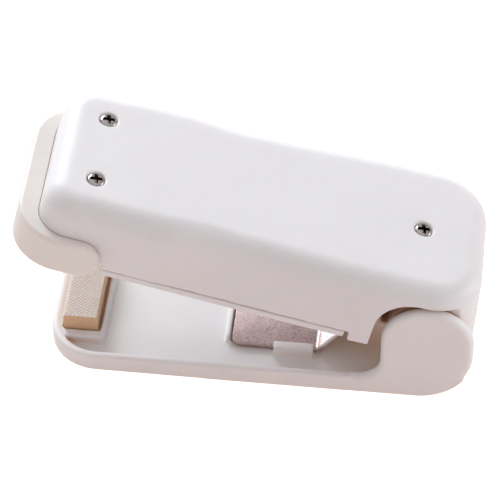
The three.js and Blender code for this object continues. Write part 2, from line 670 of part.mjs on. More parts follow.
// The collar round the arm's front end, with a clear space inside for the housing.
function jawCollar() {
  const outline = planOutline({
    front: JAW.front, rear: JAW.armEnd + 5, frontCorner: JAW.corner, rearCorner: 3,
    halfWidthAt: () => JAW.halfWidth,
  });
  const form = ringSolid([
    ring(outline, FOOT_EASING, JAW.low),
    ring(outline, 0, JAW.low + FOOT_EASING),
    ...roundedTop(outline, JAW.easing, JAW.top, 4),
  ]);
  const pill = acrossSolid(pillShape(), -FAR, FAR, 16);
  return cut(form.intersect(pill), armForm(-COLLAR_GAP, JAW_FLOOR.top, ARM_TOP));
}

function frontJaw() {
  const { front, rear, halfWidth, top } = JAW_FLOOR;
  const floor = box(front, rear, -halfWidth, halfWidth, JAW.low, top);
  const block = box(JAW_BLOCK.front, JAW_BLOCK.rear, -JAW_BLOCK.halfWidth, JAW_BLOCK.halfWidth,
    JAW_BLOCK.low, JAW.low + 0.5);
  const behind = box(rear, 0, -FAR, FAR, 0, FAR);
  const doorCorner = box(rear, 0, -FAR, FAR, JAW.low - 1, JAW.low + 0.2);
  const ribbonSlots = [-TERMINAL.y, TERMINAL.y].map((y) =>
    box(RIBBON.front - 0.5, RIBBON.rear + 0.5, y - 0.5, y + 0.5, 0, FAR));
  const terminalHoles = [-1, 1].map((side) => terminalHole(side));
  const lower = cut(join(floor, block), behind);
  return cut(join(jawCollar(), lower), doorCorner, ...ribbonSlots, ...terminalHoles);
}

const terminalHole = (side) => post(TERMINAL_SCREW.x, side * TERMINAL_SCREW.y, 14, FAR, 1.2);

const heaterBacking = () => box(JAW_BLOCK.front - 0.1, JAW_BLOCK.rear - 1, -14.6, 14.6,
  JAW_BLOCK.low - 0.45, JAW_BLOCK.low - 0.05);

// The heating ribbon: flat under the block, with both ends turned up to the terminals.
function heatingRibbon() {
  const low = JAW_BLOCK.low - 0.7;
  const { front, rear, y, thick } = RIBBON;
  return join(
    box(front, rear, -y - thick, y + thick, low, low + thick),
    box(front, rear, -y - thick, -y, low, JAW_FLOOR.top + 0.1),
    box(front, rear, y, y + thick, low, JAW_FLOOR.top + 0.1),
  );
}

// Glass-cloth cover over the ribbon, with its two edges turned up the sides of the block.
function ribbonCover() {
  const { overhang, halfWidth, thick, top } = COVER;
  const low = JAW_BLOCK.low - 0.95;
  const front = JAW_BLOCK.front - overhang;
  const rear = JAW_BLOCK.rear + overhang;
  return cut(
    box(front, rear, -halfWidth, halfWidth, low, top),
    box(front + 0.2, rear - 0.2, -FAR, FAR, low + thick, FAR),
  );
}

// A terminal strip on the jaw's floor. Its end stands up and meets the blade when the jaw is pushed in.
function terminal(side) {
  const y0 = side * TERMINAL.y - TERMINAL.halfWidth;
  const y1 = side * TERMINAL.y + TERMINAL.halfWidth;
  const low = JAW_FLOOR.top + 0.25;
  return cut(
    join(
      box(TERMINAL.front, TERMINAL.rear, y0, y1, low, low + PLATE),
      box(TERMINAL.rear - PLATE, TERMINAL.rear, y0, y1, low, BLADE.low - 1.3),
    ),
    terminalHole(side),
  );
}

const jawSpring = (side) => {
  const geometry = coil(2.4, 0.5, 7.8, 5);
  geometry.translate(FRONT_SCREW.x, side * FRONT_SCREW.y, JAW_FLOOR.top + 0.6);
  return geometry;
};

// ---- the battery door ----

function batteryDoor() {
  const outline = planOutline({
    front: DOOR.front, rear: DOOR.rear, frontCorner: 0.8, rearCorner: 0.8, halfWidthAt: armLowHalfWidth,
    cornerSteps: 3, sideSteps: 12,
  });
  const plate = ringSolid([
    ring(outline, 0.5, DOOR.low),
    ring(outline, 0.1, DOOR.low + 0.4),
    ring(outline, 0.1, DOOR.top),
  ]);
  const ribs = [-1, 1].map((side) => box(DOOR.front + 3, DOOR.rear - 3, side * 13.6 - 0.6, side * 13.6 + 0.6,
    DOOR.top - 0.5, 18));
  return join(plate, ...ribs);
}

// ---- the assembly ----

function piece(name, shape, material) {
  const geometry = shape.isBufferGeometry ? shape : toGeometry(shape);
  const mesh = new THREE.Mesh(geometry, material);
  mesh.name = name;
  return mesh;
}

const base = new THREE.Group();
base.add(
  piece('base_shell', baseShell(), WHITE_PLASTIC),
  piece('sealing_pad', sealingPad(), SILICONE),
  piece('leaf_spring', leafSpring(), SPRING_STEEL),
  piece('hinge_pin', hingePin(), NICKEL),
);

const jaw = new THREE.Group();
jaw.add(
  piece('front_jaw', frontJaw(), CREAM_PLASTIC),
  piece('heater_backing', heaterBacking(), MICA),
  piece('heating_ribbon', heatingRibbon(), NICKEL),
  piece('ribbon_cover', ribbonCover(), GLASS_CLOTH),
);

const armPieces = new THREE.Group();
armPieces.add(
  piece('top_housing', topHousing(), WHITE_PLASTIC),
  piece('battery_chassis', batteryChassis(), INNER_PLASTIC),
  piece('cell_left', cell(-CELL.y, true), CELL_SLEEVE),
  piece('cell_right', cell(CELL.y, false), CELL_SLEEVE),
  piece('positive_contact', frontContact(-CELL.y, false), BRASS),
  piece('negative_contact', frontContact(CELL.y, true), BRASS),
  piece('bridge_contact', bridgeContact(), BRASS),
  piece('battery_door', batteryDoor(), WHITE_PLASTIC),
  piece('housing_screw_rear', screw(REAR_SCREW.x, REAR_SCREW.y, REAR_SCREW.seat, SCREW), NICKEL),
  jaw,
);

for (const [label, side, wireMaterial] of [['left', -1, RED_WIRE], ['right', 1, BLACK_WIRE]]) {
  const front = screw(FRONT_SCREW.x, side * FRONT_SCREW.y, FRONT_SCREW.seat, SCREW);
  const small = screw(TERMINAL_SCREW.x, side * TERMINAL_SCREW.y, JAW_FLOOR.top + 0.75, TERMINAL_SCREW);
  armPieces.add(
    piece(`housing_screw_${label}`, front, NICKEL),
    piece(`contact_blade_${label}`, contactBlade(side), BRASS),
    piece(`battery_wire_${label}`, batteryWire(side), wireMaterial),
    piece(`jaw_spring_${label}`, jawSpring(side), SPRING_STEEL),
  );
  jaw.add(
    piece(`terminal_${label}`, terminal(side), BRASS),
    piece(`terminal_screw_${label}`, small, NICKEL),
  );
}
armPieces.position.set(0, 0, -HINGE_Z);

const arm = new THREE.Group();
arm.add(armPieces);
arm.position.set(0, 0, HINGE_Z);
arm.rotation.y = THREE.MathUtils.degToRad(REST_OPENING);

const sealer = new THREE.Group();
sealer.add(base, arm);
sealer.position.x = HINGE_FROM_ORIGIN;

export default sealer;
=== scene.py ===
"""Looks of the handheld bag heat sealer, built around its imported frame.

Shapes are drawn in millimetres with x measured from the hinge axis, the jaws towards -x, y = 0 in
the middle and the base resting on z = 0. What belongs to the arm is drawn with the arm closed,
and ARM_PLACE swings it open to where it rests. BASE_PLACE and ARM_PLACE turn millimetres into the
frame's metres.
"""

import json
import math

import bpy
import numpy as np
from mathutils import Matrix, Vector


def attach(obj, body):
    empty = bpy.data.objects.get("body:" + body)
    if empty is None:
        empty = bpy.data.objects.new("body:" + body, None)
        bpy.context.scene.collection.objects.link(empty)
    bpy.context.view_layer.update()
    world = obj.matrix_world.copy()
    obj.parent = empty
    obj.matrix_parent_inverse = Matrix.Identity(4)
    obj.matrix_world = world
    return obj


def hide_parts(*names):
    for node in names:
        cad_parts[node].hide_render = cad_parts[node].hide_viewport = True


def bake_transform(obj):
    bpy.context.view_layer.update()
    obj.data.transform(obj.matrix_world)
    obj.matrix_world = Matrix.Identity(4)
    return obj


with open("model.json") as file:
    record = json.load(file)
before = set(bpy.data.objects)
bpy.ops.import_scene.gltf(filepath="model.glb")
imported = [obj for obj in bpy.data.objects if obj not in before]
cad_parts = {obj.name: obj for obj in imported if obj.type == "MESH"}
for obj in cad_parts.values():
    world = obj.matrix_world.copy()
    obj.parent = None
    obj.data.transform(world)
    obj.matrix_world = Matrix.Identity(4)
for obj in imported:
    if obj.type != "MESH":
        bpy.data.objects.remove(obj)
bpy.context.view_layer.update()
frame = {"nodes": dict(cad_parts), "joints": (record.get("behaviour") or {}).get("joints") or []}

# ---- places and driving dimensions, from the frame ----

MM = 0.001
JOINTS = {joint["name"]: joint for joint in frame["joints"]}
HINGE = Vector(JOINTS["arm_hinge"]["pos_m"]) / MM
ARM_UP = Vector(JOINTS["jaw_press"]["axis"])
OPENING = math.atan2(ARM_UP.x, ARM_UP.z)

BASE_PLACE = Matrix.Scale(MM, 4) @ Matrix.Translation((HINGE.x, 0, 0))
ARM_PLACE = (
    Matrix.Scale(MM, 4)
    @ Matrix.Translation((HINGE.x, 0, HINGE.z))
    @ Matrix.Rotation(OPENING, 4, "Y")
    @ Matrix.Translation((0, 0, -HINGE.z))
)


def drawn_box(node, place):
    """Lowest and highest corner of a frame node, in the millimetres that shapes are drawn in."""
    back = place.inverted()
    points = [back @ v.co for v in frame["nodes"][node].data.vertices]
    low = Vector(min(p[i] for p in points) for i in range(3))
    high = Vector(max(p[i] for p in points) for i in range(3))
    return low, high


HOUSING_LOW, HOUSING_HIGH = drawn_box("top_housing", ARM_PLACE)
DOOR_LOW, DOOR_HIGH = drawn_box("battery_door", ARM_PLACE)
JAW_LOW, JAW_HIGH = drawn_box("front_jaw", ARM_PLACE)
PAD_LOW, PAD_HIGH = drawn_box("sealing_pad", BASE_PLACE)
LEAF_LOW, LEAF_HIGH = drawn_box("leaf_spring", BASE_PLACE)

# The housing, with heights for the closed arm.
HALF_WIDTH = 22.5
REACH = 2 * HALF_WIDTH
ARM_TOP = HOUSING_HIGH.z
ARM_WALL = 2.0
ARM_FRONT = -99.2
ARM_REAR_LOW = 11.6
ARM_REAR_HIGH = 9.3
ARM_FRONT_CORNER = 8
ARM_REAR_CORNER_LOW = 10
ARM_REAR_CORNER_HIGH = 13
TOP_FILLET = 5.5
FILLET_START = ARM_TOP - TOP_FILLET
SKIRT_LOW = HOUSING_LOW.z
SKIRT_FRONT = DOOR_HIGH.x + 0.9
SIDE_LOW = 16.8
HEAD_LOW = 18.9
TAIL_LOW = 15.5
TAIL_HALF_WIDTH = 19.4

# Half widths: a taper low down, and higher up a waist between the head and the tail. The places
# where they change are distances from the hinge towards the front.
LOW_TAPER = 1.8
HIGH_HALF_WIDTH = 21.6
WAIST = 1.4
FRONT_TAPER = 0.5
TAPER_FROM = 15
TAPER_TO = 90
HEAD_FROM = 56
FRONT_TAPER_FROM = 72

# The step behind the head: its depth, its two ends along the arm, and the height it begins at.
STEP_DEPTH = 0.8
STEP_REAR = 50
STEP_FRONT = 68
STEP_FROM = 24.0

# The slit in each side wall, and the round cut-outs over the ears.
SLIT_TOP = 19.0
SLIT_INNER = 15
SLIT_FRONT = SKIRT_FRONT - 0.3
SLIT_REAR = SKIRT_FRONT + 0.12
CUT_OUT_FRONT = -14.1
CUT_OUT_TOP = 30.5
CUT_OUT_RADIUS = 9.3

# The three screws: x, y and the height of the seat.
SCREW_SPOTS = {
    "left": (-87.2, -10.4, 35.1),
    "right": (-87.2, 10.4, 35.1),
    "rear": (-7.1, -0.5, 34.2),
}
SCREW_RADIUS = 2.15
SCREW_HEIGHT = 1.15
SCREW_SHANK_RADIUS = 1.3
SCREW_LENGTH = 7.2

# The jaw's collar.
JAW_CORNER = 12.0
COLLAR_REAR = -77
COLLAR_REAR_CORNER = 3
COLLAR_TOP = 25.2
COLLAR_LOW = 15.4
COLLAR_EASING = 1.1
COLLAR_SEAM = 0.06
JAW_FLOOR_TOP = 17.1
PILL_END = -82.0

# A box larger than the jaw, which cuts away all of it above its floor.
ABOVE_JAW_LOW = (-120, -40, JAW_FLOOR_TOP)
ABOVE_JAW_HIGH = (0, 40, 60)

# ---- meshes ----


def new_object(name, points, faces, place):
    """A mesh from points in millimetres, carried to where it belongs by place."""
    mesh = bpy.data.meshes.new(name)
    mesh.from_pydata([place @ Vector(p) for p in points], [], faces)
    mesh.validate()
    made = bpy.data.objects.new(name, mesh)
    bpy.context.scene.collection.objects.link(made)
    return made


def settle(made):
    """Applies the object's modifiers to its mesh."""
    graph = bpy.context.evaluated_depsgraph_get()
    mesh = bpy.data.meshes.new_from_object(made.evaluated_get(graph))
    made.modifiers.clear()
    made.data = mesh
    return made


def shade(made, angle=180.0):
    """Smooth shading, with edges sharper than angle kept as edges."""
    mesh = made.data
    mesh.polygons.foreach_set("use_smooth", [True] * len(mesh.polygons))
    if angle < 180:
        mesh.set_sharp_from_angle(angle=math.radians(angle))
    return made


def corner_points(x, y, radius, angles):
    """Points on a rounded corner about (x, y)."""
    return [(x + radius * math.cos(angle), y + radius * math.sin(angle)) for angle in angles]


def plan_outline(front, rear, front_corner, rear_corner, half_width_at, side_steps=90, corner_steps=28):
    """A closed outline seen from above, anticlockwise and mirrored about y = 0."""
    front_x = front + front_corner
    rear_x = rear - rear_corner
    front_y = half_width_at(front_x) - front_corner
    rear_y = half_width_at(rear_x) - rear_corner
    to_side = [math.pi - (i / corner_steps) * math.pi / 2 for i in range(corner_steps + 1)]
    to_rear = [(math.pi / 2) * (1 - i / corner_steps) for i in range(corner_steps + 1)]
    half = corner_points(front_x, front_y, front_corner, to_side)
    for i in range(1, side_steps):
        x = front_x + (i / side_steps) * (rear_x - front_x)
        half.append((x, half_width_at(x)))
    half += corner_points(rear_x, rear_y, rear_corner, to_rear)
    mirrored = [(x, -y) for x, y in half]
    return np.array(mirrored + half[::-1])


def ring(outline, inset, z):
    """The outline moved inwards by inset and lifted to z."""
    along = np.roll(outline, -1, axis=0) - np.roll(outline, 1, axis=0)
    along /= np.linalg.norm(along, axis=1)[:, None]
    inward = np.stack([-along[:, 1], along[:, 0]], axis=1)
    flat = outline + inset * inward
    return np.column_stack([flat, np.full(len(flat), z)])


def ring_object(name, rings, place):
    """A closed form through rings of equal length, from the lowest to the highest.

    The rings are mirrored about y = 0, so each end is closed with strips from side to side.
    """
    count = len(rings[0])
    top = (len(rings) - 1) * count
    faces = []
    for near in range(count // 2 - 1):
        far = count - 1 - near
        faces.append((near, far, far - 1, near + 1))
        faces.append((top + near, top + near + 1, top + far - 1, top + far))
    for level in range(len(rings) - 1):
        start = level * count
        for i in range(count):
            j = (i + 1) % count
            faces.append((start + i, start + j, start + count + j, start + count + i))
    return new_object(name, np.vstack(rings), faces, place)


def rounded_top(outline, radius, top, steps=14, inset=0.0):
    """Rings up a quarter-round edge of the given radius, ending at the height top."""
    angles = [math.pi / 2 * i / steps for i in range(steps + 1)]
    return [
        ring(outline, inset + radius * (1 - math.cos(a)), top - radius + radius * math.sin(a))
        for a in angles
    ]


def box_object(low, high, place, name="cutter"):
    """A box between two corners, most often a cutter."""
    xs, ys, zs = zip(low, high)
    points = [(x, y, z) for x in xs for y in ys for z in zs]
    faces = [(0, 1, 3, 2), (4, 6, 7, 5), (0, 4, 5, 1), (2, 3, 7, 6), (0, 2, 6, 4), (1, 5, 7, 3)]
    return new_object(name, points, faces, place)


def turned_object(name, profile, axis, centre, place, sides=96):
    """A solid of revolution: profile is (radius, height along axis), from the bottom to the top."""
    points = [(0.0, 0.0, profile[0][1])]
    for radius, height in profile:
        for i in range(sides):
            angle = 2 * math.pi * i / sides
            points.append((radius * math.cos(angle), radius * math.sin(angle), height))
    points.append((0.0, 0.0, profile[-1][1]))
    faces = []
    for i in range(sides):
        j = (i + 1) % sides
        faces.append((0, 1 + j, 1 + i))
        for level in range(len(profile) - 1):
            a = 1 + level * sides
            faces.append((a + i, a + j, a + sides + j, a + sides + i))
        last = 1 + (len(profile) - 1) * sides
        faces.append((last + i, last + j, len(points) - 1))
    turn = Vector((0, 0, 1)).rotation_difference(Vector(axis)).to_matrix().to_4x4()
    return new_object(name, points, faces, place @ Matrix.Translation(centre) @ turn)


def combine(made, others, operation):
    """Joins or cuts with each of the others, which are then gone."""
    for other in others:
        modifier = made.modifiers.new("combine", "BOOLEAN")
        modifier.operation = operation
        modifier.solver = "EXACT"
        modifier.object = other
        settle(made)
        bpy.data.objects.remove(other)
    return made


def mould(made, voxel, passes, share):
    """Melts the form into one skin with softly rounded edges, as moulded plastic has.

    The voxel size is in millimetres. Of the skin's faces, share is kept.
    """
    remesh = made.modifiers.new("skin", "REMESH")
    remesh.mode = "VOXEL"
    remesh.voxel_size = voxel * MM
    smooth = made.modifiers.new("soften", "SMOOTH")
    smooth.factor = 0.5
    smooth.iterations = passes
    thin = made.modifiers.new("thin", "DECIMATE")
    thin.ratio = share
    settle(made)
    return shade(made)


def ease_edges(made, width, sharper_than):
    """Adds a bevel, width millimetres wide, on edges sharper than an angle in degrees."""
    bevel = made.modifiers.new("edges", "BEVEL")
    bevel.width = width * MM
    bevel.segments = 2
    bevel.limit_method = "ANGLE"
    bevel.angle_limit = math.radians(sharper_than)


def copy_node(node, name):
    """A new object with the shape of a frame node and no material."""
    made = bpy.data.objects.new(name, frame["nodes"][node].data.copy())
    bpy.context.scene.collection.objects.link(made)
    made.data.materials.clear()
    return made


def present(made, body, material, slot, *nodes):
    """Gives a finished piece its body and its material, and hides the nodes it stands for. The slot is
    not used.
    """
    made.data.materials.clear()
    made.data.materials.append(material)
    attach(made, body)
    if nodes:
        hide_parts(*nodes)
    return made


# ---- materials ----

# The colour sockets of the mix node share their names with its other sockets, so they go by number.
MIX_FIRST = 6
MIX_SECOND = 7
MIX_RESULT = 2

# Noise scales: the larger, the finer.
PLASTIC_CLOUDS = 45
PLASTIC_GRAIN = 3200
METAL_MARKS = 900
METAL_PATCHES = 160
LEAF_GRAIN = 3600
LEAF_BLOTCHES = 260
RUBBER_MOTTLE = 700
CLOTH_THREADS = 900
PAPER_CLOUDS = 30

# How far a recess looks for walls in metres, the tint of the shade painted into it, and how open it is
# with all and none of it.
RECESS_REACH = 0.02
RECESS_SHADE_TINT = (1.0, 0.68, 0.46)
RECESS_CLOSED = 0.1
RECESS_OPEN = 0.46

# Heights in metres between which the leaf's painted shade gives way to its painted sheen.
LEAF_SHADE_TO = 0.0034
LEAF_SHEEN_FROM = 0.0046


def shader(name):
    """A new material with its node tree and its main shader."""
    material = bpy.data.materials.new(name)
    material.use_nodes = True
    tree = material.node_tree
    return material, tree, tree.nodes["Principled BSDF"]


def feed(tree, value, socket):
    """Sets a socket from a node's output, a colour or a number."""
    if isinstance(value, bpy.types.NodeSocket):
        tree.links.new(value, socket)
    elif isinstance(value, tuple):
        socket.default_value = (*value, 1)
    else:
        socket.default_value = value


def object_noise(tree, scale, detail, stretch=(1, 1, 1)):
    """Noise that is fixed to the object."""
    place = tree.nodes.new("ShaderNodeTexCoord")
    mapping = tree.nodes.new("ShaderNodeMapping")
    mapping.inputs["Scale"].default_value = stretch
    noise = tree.nodes.new("ShaderNodeTexNoise")
    noise.inputs["Scale"].default_value = scale
    noise.inputs["Detail"].default_value = detail
    tree.links.new(place.outputs["Object"], mapping.inputs["Vector"])
    tree.links.new(mapping.outputs["Vector"], noise.inputs["Vector"])
    return noise.outputs["Fac"]


def map_range(tree, value, from_low, from_high, to_low=0.0, to_high=1.0, easing="LINEAR"):
    """Carries a value from one range to another and holds it at the ends."""
    node = tree.nodes.new("ShaderNodeMapRange")
    node.interpolation_type = easing
    node.inputs["From Min"].default_value = from_low
    node.inputs["From Max"].default_value = from_high
    node.inputs["To Min"].default_value = to_low
    node.inputs["To Max"].default_value = to_high
    tree.links.new(value, node.inputs["Value"])
    return node.outputs["Result"]


def spread(tree, noise, low, high):
    """Carries the middle of a noise, 0.3 to 0.7, to low .. high."""
    return map_range(tree, noise, 0.3, 0.7, low, high)


def mixed(tree, share, first, second, blend_type="MIX"):
    """The first colour giving way to the second as share goes from 0 to 1."""
    node = tree.nodes.new("ShaderNodeMix")
    node.data_type = "RGBA"
    node.blend_type = blend_type
    feed(tree, share, node.inputs["Factor"])
    feed(tree, first, node.inputs[MIX_FIRST])
    feed(tree, second, node.inputs[MIX_SECOND])
    return node.outputs[MIX_RESULT]


def colour_between(tree, noise, first, second):
    """One colour in a noise's low patches and another in its high ones."""
    ramp = tree.nodes.new("ShaderNodeValToRGB")
    ramp.color_ramp.elements[0].position = 0.32
    ramp.color_ramp.elements[0].color = (*first, 1)
    ramp.color_ramp.elements[1].position = 0.68
    ramp.color_ramp.elements[1].color = (*second, 1)
    tree.links.new(noise, ramp.inputs["Fac"])
    return ramp.outputs["Color"]


def dimmed(colour, share):
    """The colour at a share of its brightness."""
    return tuple(share * c for c in colour)


def upward_part(tree, vector):
    """The z of a vector."""
    parts = tree.nodes.new("ShaderNodeSeparateXYZ")
    tree.links.new(vector, parts.inputs["Vector"])
    return parts.outputs["Z"]


def bump(tree, height, strength, distance):
    """Fine relief from a height, with its distance in metres."""
    node = tree.nodes.new("ShaderNodeBump")
    node.inputs["Strength"].default_value = strength
    node.inputs["Distance"].default_value = distance
    tree.links.new(height, node.inputs["Height"])
    return node.outputs["Normal"]


def paint_warm_recess_shade(tree, colour):
    """Painted shade: corners and gaps turn tan, standing in for the warm light caught between cream
    walls.
    """
    occlusion = tree.nodes.new("ShaderNodeAmbientOcclusion")
    occlusion.samples = 8
    occlusion.inputs["Distance"].default_value = RECESS_REACH
    openness = map_range(
        tree, occlusion.outputs["AO"], RECESS_CLOSED, RECESS_OPEN, easing="SMOOTHSTEP"
    )
    # The painted shade: the colour multiplied by the tan tint, used where the recess is closed.
    warm = mixed(tree, 1.0, colour, RECESS_SHADE_TINT, "MULTIPLY")
    return mixed(tree, openness, warm, colour)


def plastic(name, colour, roughness, glow=0.15, warm=False):
    """Moulded plastic: cloudy colour, spark-eroded grain, a little light under the skin and, if asked,
    warm shade painted into its recesses.
    """
    material, tree, principled = shader(name)
    clouds = object_noise(tree, PLASTIC_CLOUDS, 3)
    grain = object_noise(tree, PLASTIC_GRAIN, 2)
    skin = colour_between(tree, clouds, dimmed(colour, 0.965), colour)
    # Paints warm shade into corners and gaps.
    if warm:
        skin = paint_warm_recess_shade(tree, skin)
    feed(tree, skin, principled.inputs["Base Color"])
    feed(tree, spread(tree, grain, roughness - 0.05, roughness + 0.07), principled.inputs["Roughness"])
    feed(tree, bump(tree, grain, 0.25, 0.00002), principled.inputs["Normal"])
    feed(tree, glow, principled.inputs["Subsurface Weight"])
    feed(tree, 0.0015, principled.inputs["Subsurface Scale"])
    feed(tree, 0.45, principled.inputs["Specular IOR Level"])
    return material


def metal(name, colour, roughness, stretch=(1, 1, 1)):
    """Bare metal with rolling or drawing marks along the axis that stretch makes small."""
    material, tree, principled = shader(name)
    marks = object_noise(tree, METAL_MARKS, 4, stretch)
    patches = object_noise(tree, METAL_PATCHES, 3)
    bare = colour_between(tree, patches, dimmed(colour, 0.8), colour)
    feed(tree, bare, principled.inputs["Base Color"])
    feed(tree, spread(tree, marks, roughness * 0.75, roughness * 1.3), principled.inputs["Roughness"])
    feed(tree, bump(tree, marks, 0.15, 0.00002), principled.inputs["Normal"])
    feed(tree, 1.0, principled.inputs["Metallic"])
    return material


def leaf_steel(name, polished, flat_shade):
    """Spring steel with a painted reflection: darker, as painted shade, where it lies flat on the base,
    and lighter, as a painted sheen, up the tongue; the grain and blotches are its own.
    """
    material, tree, principled = shader(name)
    grain = object_noise(tree, LEAF_GRAIN, 2)
    blotches = object_noise(tree, LEAF_BLOTCHES, 4)
    dark = dimmed(flat_shade, 0.66)
    mottled = mixed(
        tree,
        0.5,
        colour_between(tree, grain, dark, flat_shade),
        colour_between(tree, blotches, dark, flat_shade),
    )
    place = tree.nodes.new("ShaderNodeTexCoord")
    height = upward_part(tree, place.outputs["Object"])
    # Painted reflection: shade on the flat part, sheen from the bend upwards.
    risen = map_range(tree, height, LEAF_SHADE_TO, LEAF_SHEEN_FROM)
    feed(tree, mixed(tree, risen, mottled, polished), principled.inputs["Base Color"])
    feed(tree, spread(tree, grain, 0.22, 0.4), principled.inputs["Roughness"])
    feed(tree, bump(tree, grain, 0.08, 0.00001), principled.inputs["Normal"])
    feed(tree, 1.0, principled.inputs["Metallic"])
    return material


def rubber(name, colour, deep):
    """Cured rubber with a mottle: pale on top, with the deep colour painted on its sides as shade."""
    material, tree, principled = shader(name)
    mottle = object_noise(tree, RUBBER_MOTTLE, 3)
    geometry = tree.nodes.new("ShaderNodeNewGeometry")
    on_top = map_range(tree, upward_part(tree, geometry.outputs["Normal"]), 0.5, 0.95)
    pale = colour_between(tree, mottle, dimmed(colour, 0.93), colour)
    # Painted shade: faces turned away from the top take the deep colour.
    feed(tree, mixed(tree, on_top, deep, pale), principled.inputs["Base Color"])
    feed(tree, spread(tree, mottle, 0.6, 0.8), principled.inputs["Roughness"])
    feed(tree, bump(tree, mottle, 0.3, 0.00003), principled.inputs["Normal"])
    feed(tree, 0.2, principled.inputs["Subsurface Weight"])
    feed(tree, 0.001, principled.inputs["Subsurface Scale"])
    return material


def cloth(name, colour):
    """Coated glass cloth: two crossed sets of fine threads."""
    material, tree, principled = shader(name)
    place = tree.nodes.new("ShaderNodeTexCoord")
    total = tree.nodes.new("ShaderNodeMath")
    total.operation = "ADD"
    for i, direction in enumerate("XY"):
        wave = tree.nodes.new("ShaderNodeTexWave")
        wave.bands_direction = direction
        wave.inputs["Scale"].default_value = CLOTH_THREADS
        tree.links.new(place.outputs["Object"], wave.inputs["Vector"])
        tree.links.new(wave.outputs["Fac"], total.inputs[i])
    half = tree.nodes.new("ShaderNodeMath")
    half.operation = "MULTIPLY"
    half.inputs[1].default_value = 0.5
    tree.links.new(total.outputs["Value"], half.inputs[0])
    threads = half.outputs["Value"]
    woven = colour_between(tree, threads, dimmed(colour, 0.6), colour)
    feed(tree, woven, principled.inputs["Base Color"])
    feed(tree, bump(tree, threads, 0.4, 0.00005), principled.inputs["Normal"])
    feed(tree, 0.5, principled.inputs["Roughness"])
    return material


# The last argument paints warm shade into the recesses of these four plastics.
WHITE = plastic("white_plastic", (0.84, 0.825, 0.845), 0.42, 0.15, True)
BASE_WHITE = plastic("base_plastic", (0.865, 0.85, 0.855), 0.42, 0.15, True)
CREAM = plastic("cream_plastic", (0.86, 0.82, 0.79), 0.38, 0.25, True)
INNER = plastic("inner_plastic", (0.76, 0.70, 0.64), 0.5, 0.15, True)
# The second colour is painted shade for the pad's sides.
SILICONE = rubber("silicone", (0.93, 0.90, 0.88), (0.76, 0.51, 0.31))
STEEL = metal("spring_steel", (0.7, 0.67, 0.66), 0.3)
# The leaf: a light painted sheen for the tongue and a darker painted shade for the flat part.
LEAF_STEEL = leaf_steel("leaf_steel", (0.87, 0.85, 0.85), (0.59, 0.46, 0.45))
NICKEL = metal("nickel", (0.5, 0.49, 0.48), 0.24)
SCREW_NICKEL = metal("screw_nickel", (0.5, 0.48, 0.47), 0.16)
# Near-black metal: painted shade inside the screws' cross recesses.
RECESS_SHADE_STEEL = metal("painted_recess_shade", (0.035, 0.03, 0.028), 0.4)
BRASS = metal("brass", (0.60, 0.45, 0.20), 0.3, (1, 0.1, 1))
SLEEVE = plastic("cell_sleeve", (0.05, 0.075, 0.1), 0.3, 0.0)
GLASS_CLOTH = cloth("glass_cloth", (0.36, 0.2, 0.09))
MICA = plastic("mica", (0.42, 0.36, 0.28), 0.5, 0.0)
RED = plastic("red_insulation", (0.5, 0.03, 0.02), 0.35, 0.05)
BLACK = plastic("black_insulation", (0.02, 0.02, 0.022), 0.35, 0.0)

# ---- the arm's housing ----


def smoothstep(x, low, high):
    """Rises softly from 0 at low to 1 at high."""
    t = min(max((x - low) / (high - low), 0.0), 1.0)
    return t * t * (3 - 2 * t)


def top_sag(x):
    """How far the top lies below the head's top."""
    return STEP_DEPTH * (1 - smoothstep(-x, STEP_REAR, STEP_FRONT))


def sagged(points):
    """Lowers a ring behind the head: nothing at the walls' lower part, all of it at the top."""
    for point in points:
        share = min(max((point[2] - STEP_FROM) / (ARM_TOP - STEP_FROM), 0.0), 1.0)
        point[2] -= share * top_sag(point[0])
    return points


def arm_low_half_width(x):
    """Half the width at the skirt, which tapers towards the front."""
    return HALF_WIDTH - LOW_TAPER * smoothstep(-x, TAPER_FROM, TAPER_TO)


def arm_high_half_width(x):
    """Half the width under the top fillet: a waist behind the head."""
    to_waist = smoothstep(-x, TAPER_FROM, STEP_REAR)
    to_head = smoothstep(-x, HEAD_FROM, STEP_FRONT)
    to_front = smoothstep(-x, FRONT_TAPER_FROM, TAPER_TO)
    return HIGH_HALF_WIDTH - WAIST * to_waist + WAIST * to_head - FRONT_TAPER * to_front + top_sag(x)


ARM_LOW_OUTLINE = plan_outline(
    ARM_FRONT - 0.4, ARM_REAR_LOW, ARM_FRONT_CORNER, ARM_REAR_CORNER_LOW, arm_low_half_width
)
ARM_HIGH_OUTLINE = plan_outline(
    ARM_FRONT + 0.8, ARM_REAR_HIGH, ARM_FRONT_CORNER, ARM_REAR_CORNER_HIGH, arm_high_half_width
)


def arm_form(name, inset, low, top):
    """The housing's form from low up to top, made smaller by inset, or larger if that is negative."""
    levels = 5
    rings = []
    for step in range(levels):
        z = low + (FILLET_START - low) * step / levels
        share = (z - SKIRT_LOW) / (FILLET_START - SKIRT_LOW)
        outline = ARM_LOW_OUTLINE * (1 - share) + ARM_HIGH_OUTLINE * share
        rings.append(ring(outline, inset, z))
    rings += rounded_top(ARM_HIGH_OUTLINE, TOP_FILLET - inset, top, 18, inset)
    return ring_object(name, [sagged(points) for points in rings], ARM_PLACE)


def screw_recess(x, y, seat):
    """A cutter for a screw's head, with a slightly flared mouth."""
    profile = [
        (SCREW_RADIUS + 0.08, 0),
        (SCREW_RADIUS + 0.1, 1.0),
        (SCREW_RADIUS + 0.25, 1.25),
        (SCREW_RADIUS + 0.4, 1.35),
        (SCREW_RADIUS + 0.4, 3),
    ]
    return turned_object("cutter", profile, (0, 0, 1), (x, y, seat - 0.3), ARM_PLACE)


